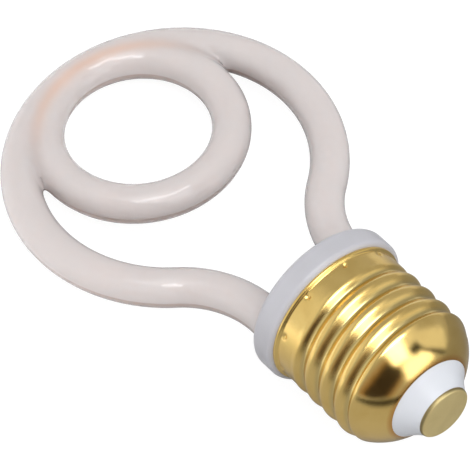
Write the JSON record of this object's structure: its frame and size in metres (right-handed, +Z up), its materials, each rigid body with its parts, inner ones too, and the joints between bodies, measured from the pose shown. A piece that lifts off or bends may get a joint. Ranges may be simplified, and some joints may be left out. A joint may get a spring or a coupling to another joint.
{
  "type": "vintage filament led bulb",
  "caption": "Decorative LED lamp: a milky tube bent to a pear-shaped loop around a smaller ring, on a white collar and a brass E27 screw cap with a centre contact",
  "frame": {"origin": "on the surface that the lamp lies on, under the middle of its outline", "axes": "+X along the lamp towards its centre contact, +Z up from the surface that it lies on, +Y across the loop; the lamp's own axis rises by about 9.4 degrees towards the contact"},
  "size_m": [0.098, 0.0588, 0.0299],
  "materials": {
    "milky_tube": "glossy milky white, translucent",
    "white_collar": "smooth, slightly bluish white",
    "brass_shell": "bright, slightly tarnished",
    "white_insulator": "smooth white",
    "contact_brass": "satin",
    "board_laminate": "green glass-fibre laminate",
    "capacitor_sleeve": "dark shrink sleeve",
    "black_package": "moulded black",
    "resistor_coat": "lacquered",
    "tinned_wire": "tinned"
  },
  "bodies": {
    "root": {"glow_tube": "milky_tube", "collar": "white_collar", "screw_shell": "brass_shell", "base_insulator": "white_insulator", "centre_contact": "contact_brass", "driver_board": "board_laminate", "smoothing_capacitor": "capacitor_sleeve", "rectifier": "black_package", "driver_chip": "black_package", "fuse_resistor": "resistor_coat", "neutral_lead": "tinned_wire", "tube_lead_left": "tinned_wire", "tube_lead_right": "tinned_wire"}
  },
  "joints": []
}
